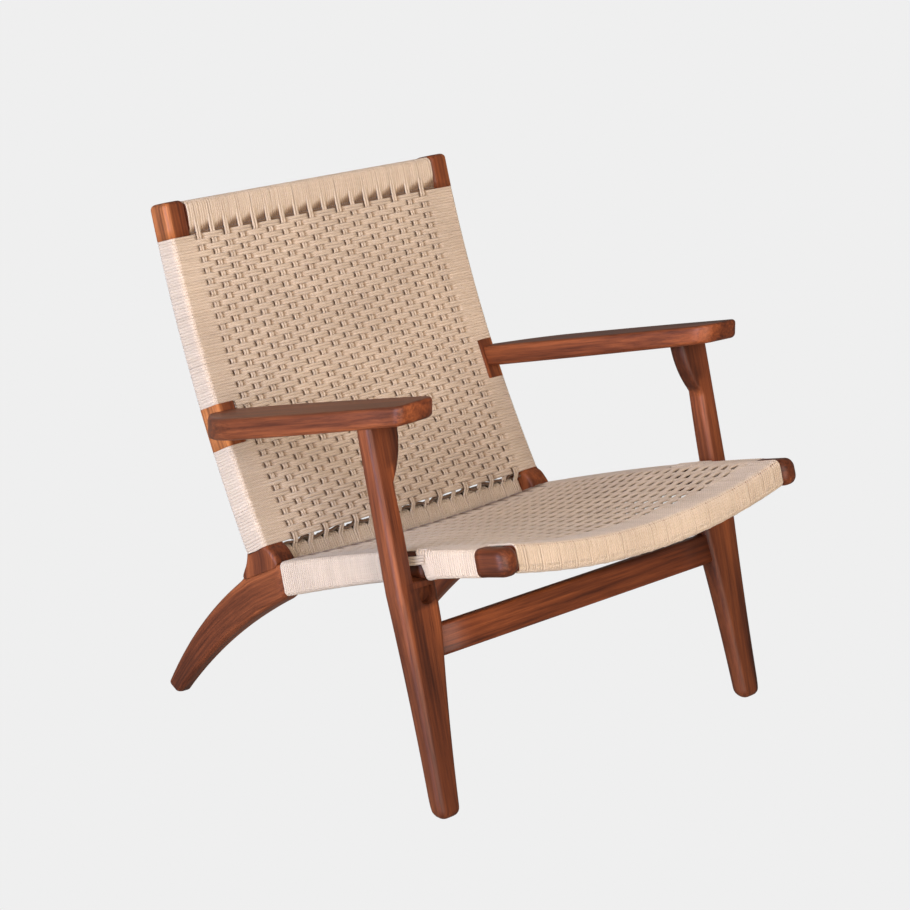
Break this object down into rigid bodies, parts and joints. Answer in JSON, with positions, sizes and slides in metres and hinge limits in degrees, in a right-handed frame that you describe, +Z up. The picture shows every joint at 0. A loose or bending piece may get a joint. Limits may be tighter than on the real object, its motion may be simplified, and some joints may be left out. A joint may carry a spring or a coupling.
{
  "type": "wooden armchair",
  "caption": "Low wooden easy chair with a sloping woven paper-cord seat and back, flat paddle armrests and splayed legs.",
  "frame": {"origin": "on the floor under the middle of the chair's bounding box", "axes": "+Z up, +X to the right as seen from in front of the chair facing it from -Y, -Y towards the front of the seat"},
  "size_m": [0.687, 0.7185, 0.7264],
  "materials": {
    "stained_walnut": "satin lacquer over reddish-brown stain",
    "paper_cord": "matt twisted paper cord, natural",
    "dowel_beech": "bare",
    "fixing_steel": "zinc plated",
    "nail_brass": "brassed"
  },
  "bodies": {
    "root": {"left_side_board": "stained_walnut", "right_side_board": "stained_walnut", "left_back_post": "stained_walnut", "right_back_post": "stained_walnut", "back_top_rail": "stained_walnut", "back_bottom_rail": "stained_walnut", "seat_front_rail": "stained_walnut", "seat_rear_rail": "stained_walnut", "left_front_leg": "stained_walnut", "right_front_leg": "stained_walnut", "left_armrest": "stained_walnut", "right_armrest": "stained_walnut", "front_stretcher": "stained_walnut", "post_dowels": "dowel_beech", "back_rail_dowels": "dowel_beech", "seat_rail_dowels": "dowel_beech", "arm_leg_dowels": "dowel_beech", "arm_post_dowels": "dowel_beech", "leg_bolts": "fixing_steel", "leg_barrel_nuts": "fixing_steel", "seat_cord_nails": "nail_brass", "back_cord_nails": "nail_brass", "left_seat_wrap_rear": "paper_cord", "right_seat_wrap_rear": "paper_cord", "left_seat_wrap_front": "paper_cord", "right_seat_wrap_front": "paper_cord", "seat_front_rail_wrap": "paper_cord", "seat_rear_rail_wrap": "paper_cord", "left_post_wrap_upper": "paper_cord", "right_post_wrap_upper": "paper_cord", "left_post_wrap_lower": "paper_cord", "right_post_wrap_lower": "paper_cord", "back_top_rail_wrap": "paper_cord", "back_bottom_rail_wrap": "paper_cord", "seat_weave": "paper_cord", "back_weave": "paper_cord"}
  },
  "joints": []
}
